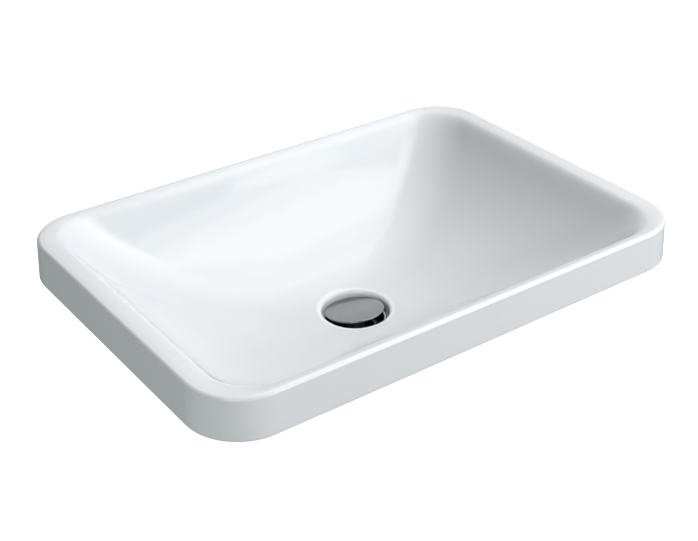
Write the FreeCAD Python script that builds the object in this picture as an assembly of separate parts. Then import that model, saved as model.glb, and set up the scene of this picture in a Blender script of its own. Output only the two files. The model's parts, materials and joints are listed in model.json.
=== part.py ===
import FreeCAD, Part
import math
import os

# Inset washbasin with a push waste, in millimetres.
# The origin is on the counter plane, on the waste's axis.
# +X runs along the basin's length, +Y to its back and +Z up.
# The waste is drawn as it stands in use: plug raised and leaning back on its ball.

# Overall form of the basin
basin_length = 560.0
basin_width = 390.0
skirt_height = 43.0  # rim above the counter
rim_setback = 2.2  # rim inside the skirt's foot, as the skirt leans in
skirt_wall = 14.0
skirt_corner = 56.0  # at the counter
skirt_foot_round = 2.0
rim_end_width = 7.8  # level top, from the skirt to where the bowl starts to fall
rim_side_width = 4.3
rim_edge_round = 3.6
neck_round = 5.0  # between the skirt's inside and the bowl's underside

# Bowl, as four rounded outlines that pull one curve: rim, roll, wall and drain
bowl_depth = 102.0
roll_end_reach = 27.4  # inwards from the rim at the two ends
roll_side_reach = 15.6  # inwards from the rim at front and back
roll_corner = 48.0
roll_pull_share = 2.09
wall_end_reach = 8.5
wall_side_reach = 42.4
wall_depth = 101.4
wall_corner = 68.0
wall_pull_share = 0.775
drain_square = 60.0
drain_corner = 26.0
outline_count = 16
shell_side = 4.0  # the underside is the bowl spread this far
shell_drop = 12.0  # and lowered this far

# Drain recess and the boss under it
recess_radius = 35.5
recess_depth = 13.1
recess_lip = 4.0
boss_wall = 10.5
boss_round = 10.0
land_thickness = 22.0  # china between the recess and the under gasket

# Waste body, with a parallel pipe thread
thread_radius = 20.955
tube_wall = 3.455
hole_clearance = 2.0
flange_radius = 33.0
flange_thickness = 3.2
flange_round = 1.0
flange_land = 2.5
dish_depth = 3.5
throat_depth = 3.0
throat_clearance = 0.35
tail_free = 37.0  # thread left below the back nut
tail_chamfer = 1.2
relief_drop = 4.0  # groove between the nut's thread and the trap's thread
relief_width = 2.5
relief_depth = 1.6
seat_step = 1.3  # ledge in the bore that carries the crosspiece

# Seals and nut that clamp the waste
flange_gasket_thickness = 1.5
gasket_margin = 2.0
under_gasket_height = 8.0
under_gasket_top = 26.0
under_gasket_foot = 30.0
under_gasket_spigot = 3.0
spigot_clearance = 0.5
washer_thickness = 1.6
washer_radius = 29.5
nut_flats = 50.0
nut_height = 10.0
nut_collar = 2.0  # round face against the washer
nut_chamfer_share = 0.06  # of the width over the flats
thread_clearance = 0.1

# Plug
plug_travel = 5.0
cap_radius = 30.6
cap_skin = 1.6
cap_dome = 0.5
cap_round = 0.5
spigot_radius = 6.0
spigot_length = 2.4
seal_inner = 19.0
seal_foot = 26.0
seal_outer = 29.4  # thin lip round the seal's foot
clamp_radius = 20.5
clamp_thickness = 1.2
ball_radius = 5.0
socket_roof = 1.2
socket_wall = 3.2
socket_grip_share = 0.6  # of the socket's radius, below the ball's centre

# Cartridge that holds the plug up or down
bush_gap = 1.1  # under the closed plug's socket
bush_rim = 1.6
bush_length = 4.0
housing_radius = 10.5
housing_bore = 8.6
housing_floor = 5.0
neck_radius = 2.8
shaft_radius = 4.2
shaft_flats = 6.4
shaft_setback = 1.0
piston_radius = 5.9
piston_length = 12.0
piston_hollow_radius = 4.4
piston_hollow_depth = 8.0
spring_wire = 0.9
spring_radius = 3.6
spring_turn_count = 6
spring_room = 2.9  # under the closed piston
pin_radius = 0.9
pin_reach = 7.2
pin_root = 4.6
pin_drop = 6.0  # below the piston's top
track_depth = 7.5  # radius of the track's bottom
track_zigzag_count = 6

# Crosspiece and its screw
cross_hub = 7.0
cross_height = 6.0
cross_ring_wall = 2.3
cross_arm = 3.0
cross_arm_count = 4
screw_radius = 2.0
screw_engagement = 4.0
screw_head_radius = 3.6
screw_head_height = 2.4
screw_socket_flats = 2.5
screw_socket_depth = 1.3

# Clearances
seat_gap = 0.5  # closed plug over the flange
run_gap = 0.3  # between pieces that move on each other
slip_fit = 0.1  # pieces that drop into place
overrun = 2.0  # cutters run this far past a face
touch = 0.001

V = FreeCAD.Vector
origin = V(0, 0, 0)
along_x = V(1, 0, 0)
up = V(0, 0, 1)
full_turn = 360.0


# Basic forms

def cylinder(radius, low, high):
    return Part.makeCylinder(radius, high - low, V(0, 0, low))


def ring(outer, inner, low, high):
    bore = cylinder(inner, low - overrun, high + overrun)
    return cylinder(outer, low, high).cut(bore)


def line(start, end):
    return Part.makeLine(V(start[0], 0, start[1]), V(end[0], 0, end[1]))


def arc(start, middle, end):
    points = [V(point[0], 0, point[1]) for point in (start, middle, end)]
    return Part.Arc(*points).toShape()


def turned(edges):
    face = Part.Face(Part.Wire(edges))
    return face.revolve(origin, up, full_turn)


def turned_outline(points):
    corners = points + points[:1]
    return turned([line(start, end) for start, end in zip(corners, corners[1:])])


def rounded_outline(length, width, corner, height):
    # Four corner arcs and four sides, anticlockwise from the right
    inset = corner * (1 - math.sqrt(0.5))
    arcs = []
    for side_x, side_y in ((1, 1), (-1, 1), (-1, -1), (1, -1)):
        x = side_x * length / 2
        y = side_y * width / 2
        on_end = V(x, y - side_y * corner, height)
        on_side = V(x - side_x * corner, y, height)
        middle = V(x - side_x * inset, y - side_y * inset, height)
        first, last = (on_end, on_side) if side_x == side_y else (on_side, on_end)
        arcs.append((first, middle, last))
    edges = []
    for here, after in zip(arcs, arcs[1:] + arcs[:1]):
        edges.append(Part.Arc(*here).toShape())
        edges.append(Part.makeLine(here[2], after[0]))
    return Part.Wire(edges)


def hexagon(flats, low, high):
    corner = flats / math.sqrt(3)
    angles = [math.radians(full_turn * side / 6) for side in range(7)]
    points = [V(corner * math.cos(a), corner * math.sin(a), low) for a in angles]
    face = Part.Face(Part.makePolygon(points))
    return face.extrude(V(0, 0, high - low))


def level_face(shape, height):
    # The largest flat face that lies at this height
    faces = [face for face in shape.Faces if abs(face.BoundBox.ZMin - height) < touch]
    faces = [face for face in faces if abs(face.BoundBox.ZMax - height) < touch]
    return max(faces, key=lambda face: face.BoundBox.DiagonalLength)


def edges_round_axis(shape, radius, low, high):
    # Edges that lie on a cylinder about the waste's axis, between two heights
    found = []
    for edge in shape.Edges:
        points = [edge.valueAt(edge.getParameterByLength(edge.Length * share / 4)) for share in range(5)]
        on_wall = all(abs(math.hypot(point.x, point.y) - radius) < touch for point in points)
        if on_wall and all(low < point.z < high for point in points):
            found.append(edge)
    return found


def edges_between(shape, low, high):
    # Edges that lie wholly between two heights
    return [edge for edge in shape.Edges if edge.BoundBox.ZMin > low and edge.BoundBox.ZMax < high]


# Heights that the pieces share

waste_hole = thread_radius + hole_clearance
tube_bore = thread_radius - tube_wall
floor_height = skirt_height - bowl_depth
recess_floor = floor_height - recess_depth
boss_radius = recess_radius + boss_wall
boss_bottom = recess_floor - land_thickness

flange_bottom = recess_floor + flange_gasket_thickness
flange_top = flange_bottom + flange_thickness
dish_radius = flange_radius - flange_land
throat_radius = waste_hole - throat_clearance


def dish_height(radius):
    # The conical dish falls from the flange's land to the bore
    return flange_top - dish_depth * (dish_radius - radius) / (dish_radius - tube_bore)


washer_top = boss_bottom - under_gasket_height
nut_top = washer_top - washer_thickness
nut_bottom = nut_top - nut_height
tail_bottom = nut_bottom - tail_free

# Plug heights are those of the closed, level plug
cap_top = flange_top + seat_gap + cap_skin
cap_under = cap_top - cap_skin
spigot_bottom = cap_under - spigot_length
seal_bottom = dish_height(seal_foot) + seat_gap
socket_radius = ball_radius + run_gap
ball_height = spigot_bottom - socket_roof - socket_radius
socket_bottom = ball_height - socket_radius * socket_grip_share

bush_top = socket_bottom - bush_gap
housing_top = bush_top - bush_rim
bush_bottom = housing_top - bush_length
piston_top = bush_bottom - run_gap  # plug raised
piston_bottom = piston_top - piston_length
pin_height = piston_top - pin_drop
housing_inside = piston_bottom - plug_travel - spring_room
housing_bottom = housing_inside - housing_floor
cross_bottom = housing_bottom - cross_height

lean = math.degrees(math.asin(plug_travel / cap_radius))  # back edge stays on the seat


# Basin

def bowl_form(spread, drop):
    rim_length = basin_length - 2 * (rim_setback + rim_end_width)
    rim_across = basin_width - 2 * (rim_setback + rim_side_width)
    rim_corner = skirt_corner - rim_setback - rim_side_width
    outlines = []
    for step in range(outline_count):
        share = step / (outline_count - 1)
        rest = 1 - share
        roll_pull = 3 * roll_pull_share * share * rest ** 2
        wall_pull = 3 * wall_pull_share * share ** 2 * rest
        pulls = [rest ** 3, roll_pull, wall_pull, share ** 3]

        def curve(*sizes):
            return sum(pull * size for pull, size in zip(pulls, sizes)) / sum(pulls)

        length = curve(rim_length, rim_length - 2 * roll_end_reach, rim_length - 2 * wall_end_reach, drain_square)
        width = curve(rim_across, rim_across - 2 * roll_side_reach, rim_across - 2 * wall_side_reach, drain_square)
        corner = curve(rim_corner, roll_corner, wall_corner, drain_corner)
        height = skirt_height - curve(0, 0, wall_depth, bowl_depth) - drop
        outlines.append(rounded_outline(length + 2 * spread, width + 2 * spread, corner + spread, height))
    return Part.makeLoft(outlines, True, False)


def skirt_form(inset, height):
    lean_in = rim_setback * height / skirt_height
    foot = rounded_outline(basin_length - 2 * inset, basin_width - 2 * inset, skirt_corner - inset, 0)
    head_inset = inset + lean_in
    length = basin_length - 2 * head_inset
    width = basin_width - 2 * head_inset
    head = rounded_outline(length, width, skirt_corner - head_inset, height)
    return Part.makeLoft([foot, head], True, True)


def make_basin_shell():
    block = skirt_form(0, skirt_height)
    block = block.makeFillet(rim_edge_round, level_face(block, skirt_height).Edges)
    underside = bowl_form(shell_side, shell_drop)
    boss = cylinder(boss_radius, boss_bottom, floor_height - shell_drop / 2)
    bulb = underside.fuse(boss)
    seam = edges_round_axis(bulb, boss_radius, boss_bottom + touch, floor_height)
    bulb = bulb.makeFillet(boss_round, seam)

    hollow_top = skirt_height - shell_drop
    block = block.cut(skirt_form(skirt_wall, hollow_top))
    block = block.makeFillet(skirt_foot_round, level_face(block, 0).Edges)

    shell = block.fuse(bulb)
    shell = shell.makeFillet(neck_round, edges_between(shell, 2 * skirt_foot_round, hollow_top))
    shell = shell.cut(bowl_form(0, 0))

    shell = shell.cut(cylinder(recess_radius, recess_floor, skirt_height))
    lip = edges_round_axis(shell, recess_radius, recess_floor + recess_lip, skirt_height)
    shell = shell.makeFillet(recess_lip, lip)
    return shell.cut(cylinder(waste_hole, boss_bottom - overrun, recess_floor + overrun))


# Waste body and what clamps it

def make_waste_body():
    step_bore = tube_bore - seat_step
    tail_edge = tail_bottom + tail_chamfer
    relief_top = nut_bottom - relief_drop
    relief_bottom = relief_top - relief_width
    relief_radius = thread_radius - relief_depth
    body = turned_outline([
        (tube_bore, cross_bottom),
        (tube_bore, flange_top - dish_depth),
        (dish_radius, flange_top),
        (flange_radius, flange_top),
        (flange_radius, flange_bottom),
        (throat_radius, flange_bottom),
        (thread_radius, flange_bottom - throat_depth),
        (thread_radius, relief_top),
        (relief_radius, relief_top),
        (relief_radius, relief_bottom),
        (thread_radius, relief_bottom),
        (thread_radius, tail_edge),
        (thread_radius - tail_chamfer, tail_bottom),
        (step_bore, tail_bottom),
        (step_bore, cross_bottom),
    ])
    rim = edges_round_axis(body, flange_radius, flange_top - touch, flange_top + touch)
    return body.makeFillet(flange_round, rim)


def make_flange_gasket():
    return ring(flange_radius - gasket_margin, throat_radius + slip_fit, recess_floor, flange_bottom)


def make_under_gasket():
    bore = thread_radius + thread_clearance
    spigot = waste_hole - spigot_clearance
    return turned_outline([
        (bore, washer_top),
        (under_gasket_foot, washer_top),
        (under_gasket_top, boss_bottom),
        (spigot, boss_bottom),
        (spigot, boss_bottom + under_gasket_spigot),
        (bore, boss_bottom + under_gasket_spigot),
    ])


def make_slip_washer():
    return ring(washer_radius, thread_radius + thread_clearance, nut_top, washer_top)


def make_back_nut():
    chamfer = nut_flats * nut_chamfer_share
    corner = nut_flats / math.sqrt(3)
    body = hexagon(nut_flats, nut_bottom, nut_top)
    envelope = turned_outline([
        (0, nut_bottom),
        (corner - chamfer, nut_bottom),
        (corner, nut_bottom + chamfer),
        (corner, nut_top - nut_collar - chamfer),
        (nut_flats / 2, nut_top - nut_collar),
        (nut_flats / 2, nut_top),
        (0, nut_top),
    ])
    bore = cylinder(thread_radius + thread_clearance, nut_bottom - overrun, nut_top + overrun)
    return body.common(envelope).cut(bore)


# Cartridge

def make_crosspiece():
    outer = tube_bore - slip_fit
    piece = ring(outer, outer - cross_ring_wall, cross_bottom, housing_bottom)
    piece = piece.fuse(cylinder(cross_hub, cross_bottom, housing_bottom))
    reach = outer - cross_ring_wall / 2
    for arm in range(cross_arm_count):
        bar = Part.makeBox(reach, cross_arm, cross_height, V(0, -cross_arm / 2, cross_bottom))
        bar.rotate(origin, up, full_turn * arm / cross_arm_count)
        piece = piece.fuse(bar)
    hole = cylinder(screw_radius + slip_fit, cross_bottom - overrun, housing_bottom + overrun)
    return piece.cut(hole).removeSplitter()


def make_cartridge_screw():
    head_bottom = cross_bottom - screw_head_height
    head = cylinder(screw_head_radius, head_bottom, cross_bottom)
    shank = cylinder(screw_radius, cross_bottom, housing_bottom + screw_engagement)
    key = hexagon(screw_socket_flats, head_bottom - overrun, head_bottom + screw_socket_depth)
    return head.fuse(shank).cut(key).removeSplitter()


def make_cartridge_housing():
    cup = cylinder(housing_radius, housing_bottom, housing_top)
    cup = cup.cut(cylinder(housing_bore, housing_inside, housing_top + overrun))
    return cup.cut(cylinder(screw_radius, housing_bottom - overrun, housing_bottom + screw_engagement))


def flatted_shaft(radius, flats, low, high):
    # A round bar with a flat at the front and at the back
    bar = cylinder(radius, low, high)
    slab = Part.makeBox(2 * radius, flats, high - low, V(-radius, -flats / 2, low))
    return bar.common(slab)


def make_guide_bush():
    bush = cylinder(housing_radius, housing_top, bush_top)
    bush = bush.fuse(cylinder(housing_bore, bush_bottom, housing_top))
    way = flatted_shaft(
        shaft_radius + run_gap, shaft_flats + 2 * run_gap, bush_bottom - overrun, bush_top + overrun)
    return bush.cut(way).removeSplitter()


def make_plunger_stem():
    shaft_top = bush_top + plug_travel - shaft_setback
    raised_ball = ball_height + plug_travel
    stem = Part.makeSphere(ball_radius, V(0, 0, raised_ball))
    stem = stem.fuse(cylinder(neck_radius, shaft_top, raised_ball))
    stem = stem.fuse(flatted_shaft(shaft_radius, shaft_flats, piston_top, shaft_top))
    stem = stem.fuse(cylinder(piston_radius, piston_bottom, piston_top))
    hollow_top = piston_bottom + piston_hollow_depth
    stem = stem.cut(cylinder(piston_hollow_radius, piston_bottom - overrun, hollow_top))
    pin_hole = Part.makeCylinder(pin_radius, piston_radius, V(pin_root, 0, pin_height), along_x)
    return stem.cut(pin_hole).removeSplitter()


def make_guide_pin():
    return Part.makeCylinder(pin_radius, pin_reach - pin_root, V(pin_root, 0, pin_height), along_x)


def track_groove(middle_angle, falls_ahead):
    # One straight run of the zigzag, wide enough for the pin, with round ends
    half_width = pin_radius + run_gap
    half_sweep = math.pi / (2 * track_zigzag_count)
    middle_radius = (piston_radius + pin_reach) / 2
    aside = middle_radius * math.sin(half_sweep)
    half_run = math.hypot(aside, plug_travel / 2)
    root = piston_radius - overrun
    depth = track_depth - root
    groove = Part.makeBox(depth, 2 * half_width, 2 * half_run, V(root, -half_width, -half_run))
    for end in (-half_run, half_run):
        groove = groove.fuse(Part.makeCylinder(half_width, depth, V(root, 0, end), along_x))
    slope = math.degrees(math.atan2(aside, plug_travel / 2))
    groove.rotate(origin, along_x, -slope if falls_ahead else slope)
    groove.rotate(origin, up, middle_angle)
    groove.translate(V(0, 0, pin_height - plug_travel / 2))
    return groove


def make_index_sleeve():
    low = housing_inside + run_gap
    high = bush_bottom - run_gap
    sleeve = ring(housing_bore - run_gap, piston_radius + run_gap, low, high)
    runs = 2 * track_zigzag_count
    grooves = []
    for run in range(runs):
        angle = -full_turn * (run + 0.5) / runs
        grooves.append(track_groove(angle, run % 2 == 0))
    return sleeve.cut(grooves).removeSplitter()


def arc_to_corner(start, corner, end):
    # The arc that leaves start towards corner and arrives at end from it
    middle = (start + end) * 0.5
    half_chord = (end - start).Length / 2
    rise = (corner - middle).Length
    bulge = half_chord * math.tan(math.atan2(rise, half_chord) / 2)
    return Part.Arc(start, middle + (corner - middle) * (bulge / rise), end).toShape()


def biarc(start, start_way, end, end_way):
    chord = end - start
    ways = start_way + end_way
    turn = 2 * (1 - start_way.dot(end_way))
    along = chord.dot(ways)
    lead = (math.sqrt(along ** 2 + turn * chord.dot(chord)) - along) / turn
    first = start + start_way * lead
    last = end - end_way * lead
    middle = (first + last) * 0.5
    return [arc_to_corner(start, first, middle), arc_to_corner(middle, last, end)]


def make_return_spring():
    low = housing_inside + spring_wire / 2 + slip_fit
    high = piston_bottom + piston_hollow_depth - spring_wire / 2 - slip_fit
    rise = (high - low) / spring_turn_count

    def point(turns):
        angle = 2 * math.pi * turns
        return V(spring_radius * math.cos(angle), spring_radius * math.sin(angle), low + rise * turns)

    def way(turns):
        angle = 2 * math.pi * turns
        slope = rise / (2 * math.pi)
        return V(-spring_radius * math.sin(angle), spring_radius * math.cos(angle), slope).normalize()

    quarters = [quarter / 4 for quarter in range(4 * spring_turn_count + 1)]
    edges = []
    for here, after in zip(quarters, quarters[1:]):
        edges += biarc(point(here), way(here), point(after), way(after))
    section = Part.Wire(Part.makeCircle(spring_wire / 2, point(0), way(0)))
    points = [point(quarter) for quarter in quarters]
    apart = min(
        (points[far] - points[near]).Length
        for near in range(len(points)) for far in range(near + 3, len(points)))
    print("spring's least gap to itself: %.2f" % (apart - spring_wire))
    return Part.Wire(edges).makePipeShell([section], True, False)


# Plug

def raised(shape):
    # From the closed plug's place to the one it stands in
    shape.rotate(V(0, 0, ball_height), along_x, -lean)
    shape.translate(V(0, 0, plug_travel))
    return shape


def make_plug_cap():
    flat = cap_radius - cap_round
    dome_radius = (flat ** 2 + cap_dome ** 2) / (2 * cap_dome)
    crown = cap_top + cap_dome
    half_way = crown - dome_radius + math.sqrt(dome_radius ** 2 - (flat / 2) ** 2)
    inset = cap_round * (1 - math.sqrt(0.5))
    cap = turned([
        arc((0, crown), (flat / 2, half_way), (flat, cap_top)),
        arc((flat, cap_top), (cap_radius - inset, cap_top - inset), (cap_radius, cap_top - cap_round)),
        line((cap_radius, cap_top - cap_round), (cap_radius, cap_under)),
        line((cap_radius, cap_under), (spigot_radius, cap_under)),
        line((spigot_radius, cap_under), (spigot_radius, spigot_bottom)),
        line((spigot_radius, spigot_bottom), (0, spigot_bottom)),
        line((0, spigot_bottom), (0, crown)),
    ])
    return raised(cap)


def make_plug_seal():
    seal = turned_outline([
        (seal_inner, cap_under),
        (seal_inner, seal_bottom),
        (seal_foot, seal_bottom),
        (seal_outer, dish_height(seal_outer) + seat_gap),
        (seal_outer, cap_under),
    ])
    return raised(seal)


def make_plug_carrier():
    hub = socket_radius + socket_wall
    clamp_bottom = seal_bottom - clamp_thickness
    carrier = turned_outline([
        (0, spigot_bottom),
        (spigot_radius, spigot_bottom),
        (spigot_radius, cap_under),
        (seal_inner, cap_under),
        (seal_inner, seal_bottom),
        (clamp_radius, seal_bottom),
        (clamp_radius, clamp_bottom),
        (hub, clamp_bottom),
        (hub, socket_bottom),
        (0, socket_bottom),
    ])
    return raised(carrier.cut(Part.makeSphere(socket_radius, V(0, 0, ball_height))))


pieces = {
    "basin_shell": make_basin_shell,
    "waste_body": make_waste_body,
    "flange_gasket": make_flange_gasket,
    "under_gasket": make_under_gasket,
    "slip_washer": make_slip_washer,
    "back_nut": make_back_nut,
    "crosspiece": make_crosspiece,
    "cartridge_screw": make_cartridge_screw,
    "cartridge_housing": make_cartridge_housing,
    "guide_bush": make_guide_bush,
    "index_sleeve": make_index_sleeve,
    "return_spring": make_return_spring,
    "plunger_stem": make_plunger_stem,
    "guide_pin": make_guide_pin,
    "plug_cap": make_plug_cap,
    "plug_seal": make_plug_seal,
    "plug_carrier": make_plug_carrier,
}

os.makedirs("parts", exist_ok=True)
for name, make in pieces.items():
    shape = make()
    solid = shape.Solids[0] if len(shape.Solids) == 1 else shape
    solid.exportStep("parts/" + name + ".step")
    box = solid.BoundBox
    print("%-18s %d solid, valid %s, %.1f cm3, z %.1f to %.1f" % (
        name, len(shape.Solids), solid.isValid(), solid.Volume / 1000, box.ZMin, box.ZMax))
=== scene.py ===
import json
import math

import bpy
from mathutils import Matrix, Vector


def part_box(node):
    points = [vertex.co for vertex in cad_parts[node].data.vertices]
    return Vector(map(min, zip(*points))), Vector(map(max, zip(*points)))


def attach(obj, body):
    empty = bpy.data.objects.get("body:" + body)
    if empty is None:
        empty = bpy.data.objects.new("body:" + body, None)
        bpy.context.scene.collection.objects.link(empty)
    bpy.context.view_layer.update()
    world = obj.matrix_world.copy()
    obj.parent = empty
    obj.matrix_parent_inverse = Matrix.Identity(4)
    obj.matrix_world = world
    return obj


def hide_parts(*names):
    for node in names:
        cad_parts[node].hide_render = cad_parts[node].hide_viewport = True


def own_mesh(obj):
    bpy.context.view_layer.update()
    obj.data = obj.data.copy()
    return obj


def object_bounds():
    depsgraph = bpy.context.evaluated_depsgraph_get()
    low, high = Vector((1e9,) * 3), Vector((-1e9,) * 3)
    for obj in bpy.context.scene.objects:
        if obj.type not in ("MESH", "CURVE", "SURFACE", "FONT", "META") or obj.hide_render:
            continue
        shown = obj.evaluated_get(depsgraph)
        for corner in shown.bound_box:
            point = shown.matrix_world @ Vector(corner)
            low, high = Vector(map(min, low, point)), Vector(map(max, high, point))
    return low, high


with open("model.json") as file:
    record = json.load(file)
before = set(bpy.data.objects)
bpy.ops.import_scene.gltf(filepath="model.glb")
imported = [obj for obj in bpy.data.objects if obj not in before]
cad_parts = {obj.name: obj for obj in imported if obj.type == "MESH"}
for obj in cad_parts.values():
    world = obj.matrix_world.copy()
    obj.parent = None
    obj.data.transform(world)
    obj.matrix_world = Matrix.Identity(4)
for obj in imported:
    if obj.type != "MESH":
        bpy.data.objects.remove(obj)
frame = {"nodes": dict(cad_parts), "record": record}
nodes = frame["nodes"]
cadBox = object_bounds()
mm = 0.001


class Wire:
    # one output of a shader node; a sum of wires adds a Math node for each step
    def __init__(self, tree, socket):
        self.tree = tree
        self.socket = socket

    def node(self, kind, settings, sockets, output=0):
        made = self.tree.nodes.new("ShaderNode" + kind)
        for name, value in settings.items():
            setattr(made, name, value)
        for name, value in sockets.items():
            if isinstance(value, Wire):
                self.tree.links.new(value.socket, made.inputs[name])
            else:
                made.inputs[name].default_value = value
        return Wire(self.tree, made.outputs[output])

    def math(self, operation, *values):
        return self.node("Math", {"operation": operation}, dict(enumerate(values)))

    def vector(self, operation, *values, **sockets):
        return self.node("VectorMath", {"operation": operation}, {**dict(enumerate(values)), **sockets})

    def __add__(self, other):
        return self.math("ADD", self, other)

    def __radd__(self, other):
        return self.math("ADD", other, self)

    def __sub__(self, other):
        return self.math("SUBTRACT", self, other)

    def __rsub__(self, other):
        return self.math("SUBTRACT", other, self)

    def __mul__(self, other):
        return self.math("MULTIPLY", self, other)

    def __rmul__(self, other):
        return self.math("MULTIPLY", other, self)

    def __pow__(self, other):
        return self.math("POWER", self, other)

    def __abs__(self):
        return self.math("ABSOLUTE", self)

    def larger(self, other):
        return self.math("MAXIMUM", self, other)

    def ramp(self, none, full):
        # 0 at none and 1 at full, whichever is higher, with a soft step between
        sockets = {"Value": self, "From Min": none, "From Max": full}
        return self.node("MapRange", {"interpolation_type": "SMOOTHSTEP"}, sockets)

    def parts(self):
        return [self.node("SeparateXYZ", {}, {"Vector": self}, axis) for axis in "XYZ"]

    def noise(self, size, detail=2, roughness=0.5):
        sockets = {"Vector": self, "Scale": 1 / size, "Detail": detail, "Roughness": roughness}
        return self.node("TexNoise", {}, sockets, "Fac")

    def cells(self, size):
        return self.node("TexVoronoi", {}, {"Vector": self, "Scale": 1 / size}, "Distance")

    def colours(self, first, second):
        # mixes two colours by this wire
        sockets = {0: self, 6: first, 7: second}
        return self.node("Mix", {"data_type": "RGBA"}, sockets, 2)

    def bump(self):
        # this wire is a height in metres
        return self.node("Bump", {}, {"Height": self, "Strength": 1.0, "Distance": 1.0})


def rgb(red, green, blue):
    return (red, green, blue, 1.0)


def newFinish(name, constants):
    # material, its shader and a wire with the surface point in metres
    finish = bpy.data.materials.new(name)
    finish.use_nodes = True
    tree = finish.node_tree
    shader = tree.nodes["Principled BSDF"]
    for socket, value in constants.items():
        shader.inputs[socket].default_value = value
    place = Wire(tree, tree.nodes.new("ShaderNodeTexCoord").outputs["Object"])
    return finish, shader, place


def feed(shader, **wires):
    sockets = {"colour": "Base Color", "roughness": "Roughness", "normal": "Normal"}
    for name, wire in wires.items():
        wire.tree.links.new(wire.socket, shader.inputs[sockets[name]])


def reach(x, y):
    # how far a point is from where x and y are zero
    return (x * x + y * y) ** 0.5


# Glazed china: white glaze with a faint peel, thinner on the hidden side, bare body on the seat

glaze = {
    "white": rgb(0.80, 0.827, 0.85),
    "pooled": rgb(0.775, 0.812, 0.84),
    # painted light: lighter glaze tone for the drain's lip and recess wall
    "lip": rgb(0.93, 0.95, 0.96),
    "hidden": rgb(0.74, 0.74, 0.72),
    "bare": rgb(0.66, 0.60, 0.52),
    "speck": rgb(0.3, 0.27, 0.24),
    "glass": 1.52,
    "gloss": 0.03,
    "glossDrift": 0.03,
    "glossSize": 25 * mm,
    "hiddenRough": 0.14,
    "thinRough": 0.3,
    "bareRough": 0.5,
    # where each glaze starts and where it is full
    "facingDown": (0.02, 0.08),
    "holeHeight": (-72.6 * mm, -74 * mm),
    # where the painted light round the drain starts and where it is full
    "lipRadius": (43 * mm, 39 * mm),
    "lipHeight": (-73 * mm, -72 * mm),
    "footCorner": (224 * mm, 139 * mm),
    "footRadius": (38 * mm, 40 * mm),
    "bareHeight": (1.5 * mm, 1.1 * mm),
    "bareFloor": (-1 * mm, -0.5 * mm),
    # sizes and heights of what wanders over the surface
    "edgeSize": 9 * mm,
    "edgeWander": 1.6 * mm,
    "cloudSize": 60 * mm,
    "thinSize": 45 * mm,
    "thinRange": (0.5, 0.72),
    "thinShow": 0.45,
    "speckGap": 11 * mm,
    "speckRange": (0.035, 0.02),
    "speckPatch": 40 * mm,
    "speckPatchRange": (0.58, 0.66),
    "speckShow": 0.25,
    "peelSize": 7 * mm,
    "peelHeight": 0.0015 * mm,
    "castSize": 5 * mm,
    "castHeight": 0.05 * mm,
    "grainSize": 0.7 * mm,
    "grainHeight": 0.06 * mm,
}


def glazeFinish():
    finish, shader, place = newFinish("glaze", {"IOR": glaze["glass"]})
    x, y, z = place.parts()
    normal = place.node("NewGeometry", {}, {}, "Normal")
    down = 0 - normal.parts()[2]
    under = down.ramp(*glaze["facingDown"]).larger(z.ramp(*glaze["holeHeight"]))

    # painted light round the drain: the lip and recess wall get a lighter tone that stands in for light
    # falling there
    lip = reach(x, y).ramp(*glaze["lipRadius"]) * z.ramp(*glaze["lipHeight"])

    # the foot is the band outside a rounded rectangle
    cornerX, cornerY = glaze["footCorner"]
    fromCorner = reach((abs(x) - cornerX).larger(0), (abs(y) - cornerY).larger(0))
    edge = place.noise(glaze["edgeSize"], 3) * glaze["edgeWander"]
    outside = fromCorner.ramp(*glaze["footRadius"])
    bare = (z + edge).ramp(*glaze["bareHeight"]) * outside * z.ramp(*glaze["bareFloor"])

    cloud = place.noise(glaze["cloudSize"], 3)
    # painted light: the drain's lip and recess wall take the lighter tone
    white = lip.colours(cloud.colours(glaze["white"], glaze["pooled"]), glaze["lip"])
    thin = place.noise(glaze["thinSize"], 4, 0.65).ramp(*glaze["thinRange"])  # less glaze on the hidden side
    hidden = (thin * glaze["thinShow"]).colours(glaze["hidden"], glaze["bare"])
    patch = place.noise(glaze["speckPatch"]).ramp(*glaze["speckPatchRange"])
    speck = place.cells(glaze["speckGap"]).ramp(*glaze["speckRange"]) * patch
    speckled = (speck * glaze["speckShow"]).colours(under.colours(white, hidden), glaze["speck"])
    colour = bare.colours(speckled, glaze["bare"])

    peel = place.noise(glaze["peelSize"], 1) * glaze["peelHeight"]
    cast = place.noise(glaze["castSize"], 4, 0.6) * under * glaze["castHeight"]
    grain = place.noise(glaze["grainSize"], 2) * bare * glaze["grainHeight"]
    shown = glaze["gloss"] + glaze["glossDrift"] * place.noise(glaze["glossSize"], 2)
    roughness = shown + under * (glaze["hiddenRough"] + glaze["thinRough"] * thin) + bare * glaze["bareRough"]
    feed(shader, colour=colour, roughness=roughness, normal=(peel + cast + grain).bump())
    return finish


# Plating: a painted dark reflection on the plug and flange, bright on the tail, with faint clouds and hairline
# wear

chrome = {
    # painted dark reflection: the plug and flange are toned down to stand in for a darker reflection
    "paintedDarkReflection": (rgb(0.208, 0.212, 0.222), rgb(0.232, 0.235, 0.244)),
    "bright": (rgb(0.50, 0.505, 0.52), rgb(0.56, 0.565, 0.575)),
    "tailRadius": (18 * mm, 19 * mm),
    "tailHeight": (-76 * mm, -80 * mm),
    "cloudSize": 9 * mm,
    "polish": 0.09,
    "wear": 0.06,
    "wearSize": 2.5 * mm,
    "scratchSize": 0.35 * mm,
    "scratchHeight": 0.0004 * mm,
}


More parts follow.
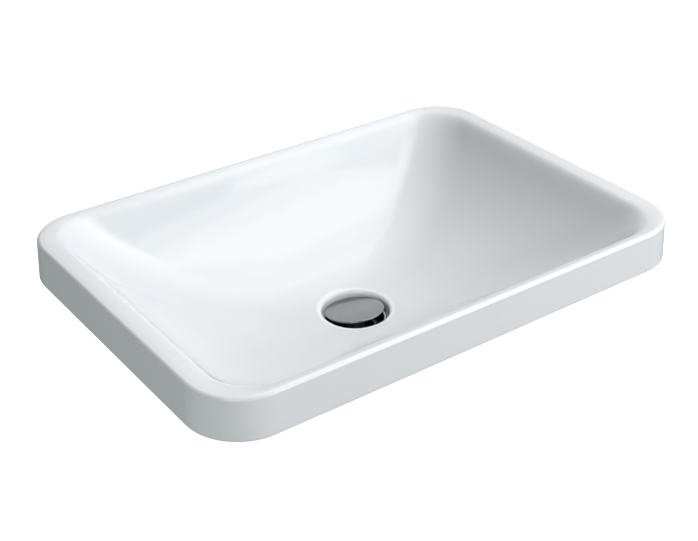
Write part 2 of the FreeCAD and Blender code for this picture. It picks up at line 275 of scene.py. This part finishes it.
def chromeFinish():
    finish, shader, place = newFinish("chrome", {"Metallic": 1.0})
    x, y, z = place.parts()
    tail = reach(x, y).ramp(*chrome["tailRadius"]) * z.ramp(*chrome["tailHeight"])
    cloud = place.noise(chrome["cloudSize"], 3)
    # painted dark reflection everywhere but the tail, plain bright chrome on the tail
    colour = tail.colours(cloud.colours(*chrome["paintedDarkReflection"]), cloud.colours(*chrome["bright"]))
    roughness = chrome["polish"] + chrome["wear"] * place.noise(chrome["wearSize"], 4, 0.6)
    scratch = place.noise(chrome["scratchSize"], 3) * chrome["scratchHeight"]
    feed(shader, colour=colour, roughness=roughness, normal=scratch.bump())
    return finish


# Brass: turned, with tarnish in patches

brass = {
    "bright": (rgb(0.72, 0.50, 0.22), rgb(0.80, 0.60, 0.30)),
    "tarnish": rgb(0.42, 0.26, 0.10),
    "turnSize": 20 * mm,
    "turnSqueeze": 60,
    "turnHeight": 0.012 * mm,
    "tarnishSize": 6 * mm,
    "tarnishRange": (0.42, 0.7),
    "tarnishShow": 0.55,
    "smooth": 0.22,
    "turnRough": 0.18,
    "tarnishRough": 0.15,
}


def brassFinish():
    finish, shader, place = newFinish("brass", {"Metallic": 1.0})
    x, y, z = place.parts()
    squeeze = brass["turnSqueeze"]
    rings = place.node("CombineXYZ", {}, {"X": reach(x, y) * squeeze, "Z": z * squeeze})
    turned = rings.noise(brass["turnSize"], 2)
    tarnish = place.noise(brass["tarnishSize"], 4, 0.6).ramp(*brass["tarnishRange"])
    colour = (tarnish * brass["tarnishShow"]).colours(turned.colours(*brass["bright"]), brass["tarnish"])
    roughness = brass["smooth"] + brass["turnRough"] * turned + brass["tarnishRough"] * tarnish
    feed(shader, colour=colour, roughness=roughness, normal=(turned * brass["turnHeight"]).bump())
    return finish


# Steel: drawn wire and pins

steel = {
    "tones": (rgb(0.48, 0.48, 0.47), rgb(0.62, 0.62, 0.61)),
    "drawSize": 4 * mm,
    "drawHeight": 0.003 * mm,
    "squeezeAcross": 4,
    "squeezeAlong": 40,
    "smooth": 0.22,
    "drawRough": 0.2,
}


def steelFinish():
    finish, shader, place = newFinish("steel", {"Metallic": 1.0})
    x, y, z = place.parts()
    across = steel["squeezeAcross"]
    lines = place.node("CombineXYZ", {}, {"X": x * across, "Y": y * across, "Z": z * steel["squeezeAlong"]})
    drawn = lines.noise(steel["drawSize"], 3)
    colour = drawn.colours(*steel["tones"])
    roughness = steel["smooth"] + steel["drawRough"] * drawn
    feed(shader, colour=colour, roughness=roughness, normal=(drawn * steel["drawHeight"]).bump())
    return finish


# Seal rubber: matt, with a grey bloom

rubber = {
    "tones": (rgb(0.012, 0.012, 0.013), rgb(0.04, 0.04, 0.041)),
    "specular": 0.35,
    "bloomSize": 5 * mm,
    "smooth": 0.5,
    "bloomRough": 0.25,
    "skinSize": 0.5 * mm,
    "skinHeight": 0.012 * mm,
}


def rubberFinish():
    finish, shader, place = newFinish("sealRubber", {"Specular IOR Level": rubber["specular"]})
    bloom = place.noise(rubber["bloomSize"], 4, 0.65)
    skin = place.noise(rubber["skinSize"], 3) * rubber["skinHeight"]
    roughness = rubber["smooth"] + rubber["bloomRough"] * bloom
    feed(shader, colour=bloom.colours(*rubber["tones"]), roughness=roughness, normal=skin.bump())
    return finish


# Moulded plastic, white and grey

plastic = {
    "white": (rgb(0.78, 0.78, 0.75), rgb(0.84, 0.84, 0.82)),
    "grey": (rgb(0.10, 0.105, 0.115), rgb(0.14, 0.145, 0.155)),
    "glass": 1.5,
    "cloudSize": 4 * mm,
    "smooth": 0.35,
    "cloudRough": 0.15,
    "skinSize": 0.3 * mm,
    "skinHeight": 0.004 * mm,
}


def plasticFinish(name, tones):
    finish, shader, place = newFinish(name, {"IOR": plastic["glass"]})
    cloud = place.noise(plastic["cloudSize"], 3)
    skin = place.noise(plastic["skinSize"], 2) * plastic["skinHeight"]
    roughness = plastic["smooth"] + plastic["cloudRough"] * cloud
    feed(shader, colour=cloud.colours(*tones), roughness=roughness, normal=skin.bump())
    return finish


finishes = {
    "glaze": glazeFinish(),
    "chrome": chromeFinish(),
    "brass": brassFinish(),
    "steel": steelFinish(),
    "seal_rubber": rubberFinish(),
    "white_plastic": plasticFinish("whitePlastic", plastic["white"]),
    "grey_plastic": plasticFinish("greyPlastic", plastic["grey"]),
}
for subpart in frame["record"]["subparts"]:
    for slot in nodes[subpart["node"]].material_slots:
        slot.material = finishes[subpart["material_slot"]]
print("finishes:", len(finishes))


sharpAngle = math.radians(38)  # edges steeper than this stay sharp


def addPiece(name, mesh, body, stands, slot):
    # smooth faces, sharp edges, and its place in the frame
    mesh.shade_smooth()
    mesh.set_sharp_from_angle(angle=sharpAngle)
    mesh.materials.append(finishes[slot])
    piece = bpy.data.objects.new(name, mesh)
    bpy.context.scene.collection.objects.link(piece)
    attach(piece, body)
    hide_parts(stands)
    print(name + ":", len(mesh.polygons), "faces")
    return piece


def ringFaces(rows, steps, closed):
    # quads between rings of equal steps; closed joins the last ring to the first
    faces = []
    for row in range(rows if closed else rows - 1):
        here = row * steps
        after = (row + 1) % rows * steps
        for step in range(steps):
            beside = (step + 1) % steps
            faces.append((here + step, after + step, after + beside, here + beside))
    return faces


# Waste: dished flange and tube, with the pipe thread as a real helix

waste = {
    "threadRadius": 20.955 * mm,
    "threadPitch": 2.309 * mm,
    "threadDepth": 1.479 * mm,
    "rowsPerTurn": 10,
    "stepsRound": 84,
    "flangeRadius": 33 * mm,
    "flangeThick": 3.2 * mm,
    "flangeRound": 1.0 * mm,
    "flangeSteps": 5,
    "dishRadius": 30.5 * mm,
    "dishDepth": 3.5 * mm,
    "dishBreak": (0.8 * mm, 0.2 * mm),  # in and down from the dish's edge
    "boreRadius": 17.5 * mm,
    "boreBreak": 0.4 * mm,
    "boreStep": 0.1 * mm,
    "ledgeRadius": 16.2 * mm,
    "ledgeHeight": -116.9 * mm,
    "throatRadius": 22.605 * mm,
    "throatDepth": 3.0 * mm,
    "groove": (-117.7 * mm, -120.2 * mm),
    "grooveRadius": 19.355 * mm,
    "tailChamfer": 1.2 * mm,
}


def wasteProfile():
    # radius, height and how deep the thread is cut, from the bore's ledge over the flange and down to the tail
    low, high = (corner[2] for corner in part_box("waste_body"))
    under = high - waste["flangeThick"]
    dishFoot = high - waste["dishDepth"]
    inward, downward = waste["dishBreak"]
    points = [
        (waste["ledgeRadius"], low, 0),
        (waste["ledgeRadius"], waste["ledgeHeight"], 0),
        (waste["boreRadius"], waste["ledgeHeight"], 0),
        (waste["boreRadius"], dishFoot - waste["boreBreak"], 0),
        (waste["boreRadius"] + waste["boreBreak"], dishFoot + waste["boreStep"], 0),
        (waste["dishRadius"] - inward, high - downward, 0),
        (waste["dishRadius"], high, 0),
    ]
    rim, rimSteps = waste["flangeRound"], waste["flangeSteps"]
    for step in range(rimSteps + 1):
        turn = math.pi / 2 * step / rimSteps
        outer = waste["flangeRadius"] - rim + rim * math.sin(turn)
        points.append((outer, high - rim + rim * math.cos(turn), 0))
    threadTop = under - waste["throatDepth"]
    points.append((waste["flangeRadius"], under, 0))
    points.append((waste["throatRadius"], under, 0))
    points.append((waste["threadRadius"], threadTop, 0))

    row = waste["threadPitch"] / waste["rowsPerTurn"]
    chamferTop = low + waste["tailChamfer"]

    def thread(top, bottom):
        # the cut deepens over the first turn
        rows = round((top - bottom) / row)
        for step in range(rows + 1):
            height = top + (bottom - top) * step / rows
            crest = waste["threadRadius"] - max(0, chamferTop - height)
            points.append((crest, height, min(1, (threadTop - height) / waste["threadPitch"])))

    grooveTop, grooveLow = waste["groove"]
    thread(threadTop - row, grooveTop)
    points.append((waste["grooveRadius"], grooveTop, 0))
    points.append((waste["grooveRadius"], grooveLow, 0))
    thread(grooveLow, low)
    return points


def makeWaste():
    profile = wasteProfile()
    steps = waste["stepsRound"]
    corners = []
    for radius, height, cut in profile:
        for step in range(steps):
            turn = 2 * math.pi * step / steps
            phase = 2 * math.pi * height / waste["threadPitch"] - turn
            root = waste["threadRadius"] - cut * waste["threadDepth"] * (0.5 + 0.5 * math.cos(phase))
            near = min(radius, root) if cut else radius
            corners.append((near * math.cos(turn), near * math.sin(turn), height))
    mesh = bpy.data.meshes.new("threadedWaste")
    mesh.from_pydata(corners, [], ringFaces(len(profile), steps, True))
    addPiece("threadedWaste", mesh, "basin", "waste_body", "chrome")


makeWaste()


# Plug: thin domed cap with a rolled edge, leaning back on its ball

cap = {
    "radius": 31.5 * mm,
    "edge": 0.55 * mm,
    "under": -66.9 * mm,  # heights are those of the closed, level plug
    "thick": 1.6 * mm,
    "dome": 0.5 * mm,
    "spigotRadius": 6 * mm,
    "spigotLength": 2.4 * mm,
    "ballHeight": -75.8 * mm,
    "lift": 5 * mm,
    "lean": -9.41,
    "domeRows": 12,
    "halfEdgeRows": 6,
    "stepsRound": 128,
}


def capProfile():
    # radius and height from the crown over the edge and down to the spigot
    top = cap["under"] + cap["thick"]
    flat = cap["radius"] - cap["edge"]
    points = []
    for step in range(1, cap["domeRows"] + 1):
        share = step / cap["domeRows"]
        points.append((flat * share, top + cap["dome"] * (1 - share ** 2)))
    half = cap["halfEdgeRows"]
    for step in range(1, 2 * half + 1):
        turn = math.pi * step / (2 * half)
        side = cap["edge"] * math.sin(turn)
        middle = top - cap["edge"] if step <= half else cap["under"] + cap["edge"]
        points.append((flat + side, middle + cap["edge"] * math.cos(turn)))
    points.append((cap["spigotRadius"], cap["under"]))
    points.append((cap["spigotRadius"], cap["under"] - cap["spigotLength"]))
    return points


def makeCap():
    profile = capProfile()
    steps = cap["stepsRound"]
    pivot = Vector((0, 0, cap["ballHeight"]))
    lift = Vector((0, 0, cap["lift"]))
    tilt = Matrix.Rotation(math.radians(cap["lean"]), 3, "X")

    def leaning(x, y, z):
        return tilt @ (Vector((x, y, z)) - pivot) + pivot + lift

    corners = []
    for radius, height in profile:
        for step in range(steps):
            turn = 2 * math.pi * step / steps
            corners.append(leaning(radius * math.cos(turn), radius * math.sin(turn), height))
    faces = ringFaces(len(profile), steps, False)
    crown = len(corners)
    corners.append(leaning(0, 0, cap["under"] + cap["thick"] + cap["dome"]))
    faces += [(crown, step, (step + 1) % steps) for step in range(steps)]
    last = (len(profile) - 1) * steps
    faces.append(tuple(last + step for step in reversed(range(steps))))
    mesh = bpy.data.meshes.new("domedCap")
    mesh.from_pydata(corners, [], faces)
    addPiece("domedCap", mesh, "plug", "plug_cap", "chrome")


makeCap()


# Return spring: one wire tube, built at a single length, though the real spring shortens as the plug goes down

spring = {
    "wire": 0.45 * mm,
    "radius": 3.6 * mm,
    "turns": 6,
    "foot": -105.35 * mm,
    "head": -90.55 * mm,
    "stepsPerTurn": 30,
    "sides": 12,
    "seat": -105.9 * mm,
    "closedShare": 0.683,
}


def makeSpring():
    turns, sides = spring["turns"], spring["sides"]
    steps = turns * spring["stepsPerTurn"]
    rise = (spring["head"] - spring["foot"]) / (2 * math.pi * turns)
    corners = []
    for step in range(steps + 1):
        turn = 2 * math.pi * turns * step / steps
        outward = Vector((math.cos(turn), math.sin(turn), 0))
        sideways = Vector((-math.sin(turn), math.cos(turn), 0)) * spring["radius"]
        onward = (sideways + Vector((0, 0, rise))).normalized()
        across = outward.cross(onward)
        centre = outward * spring["radius"] + Vector((0, 0, spring["foot"] + rise * turn))
        for side in range(sides):
            roll = 2 * math.pi * side / sides
            corners.append(centre + (outward * math.cos(roll) + across * math.sin(roll)) * spring["wire"])
    faces = ringFaces(steps + 1, sides, False)
    faces.append(tuple(range(sides)))
    faces.append(tuple(steps * sides + side for side in reversed(range(sides))))
    mesh = bpy.data.meshes.new("coilSpring")
    mesh.from_pydata(corners, [], faces)
    piece = addPiece("coilSpring", mesh, "basin", "return_spring", "steel")
    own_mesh(piece)


makeSpring()


# Studio: pale floor, softboxes low at the front and high at the right, and soft glows in a dark sky

studio = {
    "floorTones": (rgb(0.9, 0.9, 0.9), rgb(0.88, 0.88, 0.88)),
    "floorGlow": 0.85,
    "floorRough": 0.8,
    "floorCloud": 0.4,
    "floorSize": 30.0,
    "boxDistance": 2.2,
    # degrees from +X towards +Y, degrees up, side in metres, watts
    "boxes": {
        "keyLow": (300, 12, 1.1, 16.2),
        "keyMiddle": (300, 30, 1.1, 4.3),
        "keySide": (315, 12, 1.1, 9.4),
        "fillLeft": (225, 30, 1.1, 15.1),
        "overhead": (340, 50, 1.8, 12.0),
        "smallFront": (330, 54, 0.8, 2.3),
        "smallSide": (340, 57, 0.8, 1.6),
    },
    "roomGlow": 0.35,
    # degrees from +X towards +Y, degrees up, how narrow, brightness, tint
    "skyGlows": [
        (30, 55, 12, 2.47, (1, 1, 1)),
        (60, 25, 8, 0.66, (1, 1, 1)),
        (0, 25, 8, 0.24, (1, 1, 1)),
        (180, -30, 4, 0.60, (0.94, 1.05, 1)),
        (240, -30, 4, 0.26, (1, 1, 1)),
    ],
}


def wayTo(azimuth, rise):
    turn = math.radians(azimuth)
    lift = math.radians(rise)
    return Vector((math.cos(turn) * math.cos(lift), math.sin(turn) * math.cos(lift), math.sin(lift)))


def addFloor():
    half = studio["floorSize"] / 2
    low = cadBox[0][2]
    mesh = bpy.data.meshes.new("floor")
    corners = [(-half, -half, low), (half, -half, low), (half, half, low), (-half, half, low)]
    mesh.from_pydata(corners, [], [(0, 1, 2, 3)])
    floor = bpy.data.objects.new("floor", mesh)
    bpy.context.scene.collection.objects.link(floor)
    constants = {"Roughness": studio["floorRough"], "Emission Strength": studio["floorGlow"]}
    finish, shader, place = newFinish("floorPaint", constants)
    shader.inputs["Emission Color"].default_value = studio["floorTones"][0]
    feed(shader, colour=place.noise(studio["floorCloud"], 2).colours(*studio["floorTones"]))
    mesh.materials.append(finish)
    floor.visible_diffuse = False
    floor.visible_glossy = False


def addBox(name, azimuth, rise, side, watts):
    lamp = bpy.data.lights.new(name, "AREA")
    lamp.shape = "SQUARE"
    lamp.size = side
    lamp.energy = watts
    holder = bpy.data.objects.new(name, lamp)
    way = wayTo(azimuth, rise)
    holder.location = way * studio["boxDistance"]
    holder.rotation_euler = (-way).to_track_quat("-Z", "Y").to_euler()
    bpy.context.scene.collection.objects.link(holder)


def addSky():
    world = bpy.data.worlds.new("sky")
    world.use_nodes = True
    bpy.context.scene.world = world
    tree = world.node_tree
    look = Wire(tree, tree.nodes.new("ShaderNodeTexCoord").outputs["Generated"])
    x, y, z = look.parts()
    light = (0, 0, 0)
    for azimuth, rise, narrow, bright, tint in studio["skyGlows"]:
        way = wayTo(azimuth, rise)
        towards = (x * way.x + y * way.y + z * way.z).larger(0)
        light = look.vector("ADD", look.vector("SCALE", tint, Scale=bright * towards ** narrow), light)
    mirrored = look.node("LightPath", {}, {}, "Is Glossy Ray")  # glaze and plating mirror a pale room
    light = look.vector("ADD", look.vector("SCALE", (1, 1, 1), Scale=studio["roomGlow"] * mirrored), light)
    seen = look.node("LightPath", {}, {}, "Is Camera Ray")  # the backdrop itself is white
    tree.links.new(seen.colours(light, rgb(1, 1, 1)).socket, tree.nodes["Background"].inputs["Color"])


view = {
    "lens": 67.63,  # millimetres, as is the sensor
    "sensor": 36.0,
    "shift": (-0.0091, -0.0396),
    "aim": (0, 0, 0.0204),
    "azimuth": 233.68,
    "rise": 29.47,
    "distance": 1.3363,
}


def addCamera():
    scene = bpy.context.scene
    lens = bpy.data.cameras.new("camera")
    lens.lens = view["lens"]
    lens.sensor_width = view["sensor"]
    lens.shift_x, lens.shift_y = view["shift"]
    camera = bpy.data.objects.new("camera", lens)
    away = wayTo(view["azimuth"], view["rise"])
    camera.location = Vector(view["aim"]) + away * view["distance"]
    camera.rotation_euler = (-away).to_track_quat("-Z", "Y").to_euler()
    scene.collection.objects.link(camera)
    scene.camera = camera
    scene.view_settings.view_transform = "Standard"


addFloor()
addSky()
for name, settings in studio["boxes"].items():
    addBox(name, *settings)
addCamera()
print("studio: floor, sky,", len(studio["boxes"]), "softboxes and camera")
